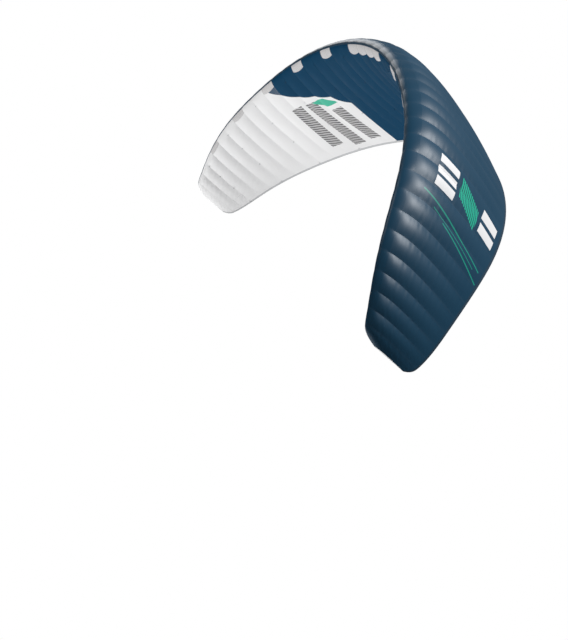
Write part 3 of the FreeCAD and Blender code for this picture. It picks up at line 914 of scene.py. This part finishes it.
def diagonal(side, number, step):
    """A web from the foot of rib number to the head of the rib one step on."""
    u, t, faces = grid_of(DIAGONAL_ACROSS, DIAGONAL_ROWS)
    along = np.sqrt(DIAGONAL_FROM + (DIAGONAL_TO - DIAGONAL_FROM) * t)
    ends = []
    for rib, sign, way in ((number, -1, step), (number + step, 1, -step)):
        cut = Slice(np.full_like(t, float(rib)))
        y, z = cut.plane(sign * along, DIAGONAL_SINK)
        ends.append(cut.place(side, y, z) - ORIGIN + cut.spanwise(side) * way * DIAGONAL_OFF)
    foot, head = ends
    return new_piece("diagonal", foot + (head - foot) * u[:, None], faces, {})


pairs = [(0, 1)] + [(number, step) for number in LOADED for step in (-1, 1)]
for side, name in SIDES:
    webs = joined(f"diagonal_cloth_{name}", [diagonal(side, *pair) for pair in pairs])
    area = finish_mesh(webs, offset=0.0)
    print(f"{webs.name}: {len(webs.data.polygons)} faces, {area:.3f} m2 of cloth")
    flat = (CUT_SPARE * area / DIAGONAL_LONG, DIAGONAL_LONG)
    dress(webs, rib_finish, [f"diagonal_ribs_{name}"])

# %% [markdown]
# Under the loaded ribs hang small loops of webbing, and a bridle line is tied through each. A loop
# is a band that leaves the seam, turns round at the bottom and comes back, so its inside is the
# eye. One loop is modelled as by hand: the short top of the band is a plane, its front edge is
# extruded down, spun round the bottom and extruded up again. Each tab is then a copy of that loop,
# turned and moved to its rib, in webbing of the colour of the cloth that it hangs from.

# %% One loop of webbing
LOOP_HALF, LOOP_DROP, LOOP_WIDE, LOOP_THICK, LOOP_GAP = 0.0058, 0.0120, 0.0056, 0.0012, 0.0008
LOOP_STEPS, LOOP_EDGE, LOOP_EDGE_STEPS, LOOP_CREASE = 12, 0.0003, 2, math.radians(35)


def extrude(way, times):
    """Extrudes the selected edge by way, as often as times says."""
    for _ in range(times):
        bpy.ops.mesh.extrude_edges_move(TRANSFORM_OT_translate={"value": way})


bpy.ops.object.select_all(action="DESELECT")
bpy.ops.mesh.primitive_plane_add(size=1)
loop = bpy.context.object
bpy.ops.object.mode_set(mode="EDIT")
bpy.ops.transform.resize(value=(LOOP_WIDE, 2 * LOOP_HALF, 1))
bpy.ops.mesh.select_mode(type="EDGE")
band = bmesh.from_edit_mesh(loop.data)
for face in band.faces:
    face.select_set(False)
for edge in band.edges:
    edge.select_set(all(corner.co.y < 0 for corner in edge.verts))
bmesh.update_edit_mesh(loop.data)
extrude((0, 0, LOOP_DROP / 2), 2)
bpy.ops.mesh.spin(steps=LOOP_STEPS, angle=math.pi, center=(0, 0, LOOP_DROP), axis=(1, 0, 0))
extrude((0, 0, -LOOP_DROP / 2), 2)
bpy.ops.object.mode_set(mode="OBJECT")
merge(loop, outward=True)
wall = loop.modifiers.new("Wall", "SOLIDIFY")
wall.thickness, wall.offset = LOOP_THICK, -1.0
edge = loop.modifiers.new("Edge", "BEVEL")
edge.width, edge.segments = LOOP_EDGE, LOOP_EDGE_STEPS
bpy.ops.object.modifier_apply(modifier=wall.name)
bpy.ops.object.modifier_apply(modifier=edge.name)
bpy.ops.object.shade_smooth_by_angle(angle=LOOP_CREASE)
hangs = max(corner.co.z for corner in loop.data.vertices)
print("one loop has", len(loop.data.polygons), "faces and hangs", round(hangs * 1000, 1), "mm")

# %% Tabs
ROWS = {
    "front": (FRONT_ROW, LOADED), "middle": (0.33, LOADED), "rear": (0.62, LOADED),
    "brake": (0.97, [number for number in LOADED if number >= BREAK_START]),
}


def hung_loop(side, number, share):
    """A copy of the loop, hung from the underside at one rib and one share of the chord."""
    cut, along = Slice(np.full(1, float(number))), np.full(1, -math.sqrt(share))
    head, beyond = (
        cut.place(side, *cut.plane(along, -LOOP_GAP - reach))[0] - ORIGIN for reach in (0.0, 1.0)
    )
    across, outward = cut.spanwise(side), beyond - head
    placed = Matrix(np.column_stack([across, np.cross(outward, across), outward]).tolist())
    tab = loop.copy()
    tab.data = loop.data.copy()
    bpy.context.scene.collection.objects.link(tab)
    tab.data.transform(Matrix.Translation(head) @ placed.to_4x4())
    return tab


def under_colour(number, share):
    """The cloth at a rib: blue inside the colour break and white outside it."""
    return "blue" if number < BREAK_START or share < COLOUR_BREAK.get(number, 0) else "white"


def hang_tabs(name, side, numbers, share, node):
    """One row of tabs as one piece."""
    tabs = [hung_loop(side, number, share) for number in numbers]
    for number, tab in zip(numbers, tabs):
        tab.data.materials.append(webbing_finish[under_colour(number, share)].material)
    row = joined(name, tabs)
    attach(row, "canopy")
    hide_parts(node)
    print(f"{name}: {len(numbers)} loops")


for row in ("front", "middle", "rear"):
    hang_tabs(f"centre_{row}_loop", 1, [0], ROWS[row][0], f"centre_{row}_tab")
for side, name in SIDES:
    for row, (share, numbers) in ROWS.items():
        hang_tabs(f"{row}_loops_{name}", side, numbers, share, f"{row}_tabs_{name}")
bpy.data.objects.remove(loop)

# %% [markdown]
# The battens are stiff plastic rods whose shape is already right in the engineering model, so they
# stay as they are and only get their finish.

# %% Battens
for node in ("centre_batten", "nose_battens_left", "nose_battens_right"):
    rod = bpy.data.objects[node]
    rod.data.materials.clear()
    rod.data.materials.append(plastic.material)
    print(f"{node}: {len(rod.data.polygons)} faces in {plastic.material.name}")

# %% [markdown]
# Stage: a pale floor far below, a white surround and a few large soft lamps. The surround lights
# the cloth less than it shows, so that the lamps can shape the cells.

# %% White surround
SURROUND_LIGHTS, SURROUND_SHOWS = 0.10, 1.0

bpy.context.scene.view_settings.view_transform = "Standard"
world = bpy.data.worlds.new("white studio")
bpy.context.scene.world = world
world.use_nodes = True
links, nodes = world.node_tree.links, world.node_tree.nodes
seen = nodes.new("ShaderNodeLightPath").outputs["Is Camera Ray"]
strength = nodes.new("ShaderNodeMapRange")
strength.inputs["To Min"].default_value = SURROUND_LIGHTS
strength.inputs["To Max"].default_value = SURROUND_SHOWS
links.new(seen, strength.inputs["Value"])
nodes["Background"].inputs["Color"].default_value = (1, 1, 1, 1)
links.new(strength.outputs["Result"], nodes["Background"].inputs["Strength"])
print("surround lights with", SURROUND_LIGHTS, "of what it shows")

# %% Lamps
SUN_POWER, SUN_SPREAD, SUN_HEIGHT = 4.2, math.radians(22), 8
LIT_CENTRE = np.array((0.0, 0.55, -0.9))
# Each soft box: its direction from the kite, its distance, its size in metres and its power.
SOFTBOXES = {
    "under_softbox": ((-0.40, -0.12, -0.91), 6.4, 2.4, 118),
    "rim_softbox": ((-0.90, -0.24, 0.30), 10, 3.6, 95),
    "front_softbox": ((0.0, -0.95, 0.30), 10, 4.0, 90),
}

bpy.ops.object.select_all(action="DESELECT")
bpy.ops.object.light_add(type="SUN", location=(0, 0, SUN_HEIGHT))
overhead = bpy.context.object
overhead.name = "overhead_light"
overhead.data.energy, overhead.data.angle = SUN_POWER, SUN_SPREAD

for name, (towards, distance, size, power) in SOFTBOXES.items():
    away = np.array(towards, float) / np.linalg.norm(towards)
    bpy.ops.object.select_all(action="DESELECT")
    bpy.ops.object.light_add(type="AREA", location=LIT_CENTRE + away * distance)
    lamp = bpy.context.object
    lamp.name = name
    lamp.rotation_euler = Vector(away).to_track_quat("Z", "Y").to_euler()
    lamp.data.size, lamp.data.energy = size, power
    lamp.visible_camera = False
print("lamps:", 1 + len(SOFTBOXES))

# %% Floor
FLOOR_RADIUS, FLOOR_PLACE, FLOOR_SIDES = 25, (0, 0.5, -20.5), 128

bpy.ops.object.select_all(action="DESELECT")
bpy.ops.mesh.primitive_circle_add(
    vertices=FLOOR_SIDES, radius=FLOOR_RADIUS, fill_type="NGON", location=FLOOR_PLACE
)
floor = bpy.context.object
floor.name = "studio_floor"
paint = Finish("pale floor", {"Roughness": 0.9})
base = paint.blend(paint.noise(3.0), (0.90, 0.90, 0.90, 1), (0.93, 0.93, 0.93, 1))
paint.feed("Base Color", base)
floor.data.materials.append(paint.material)
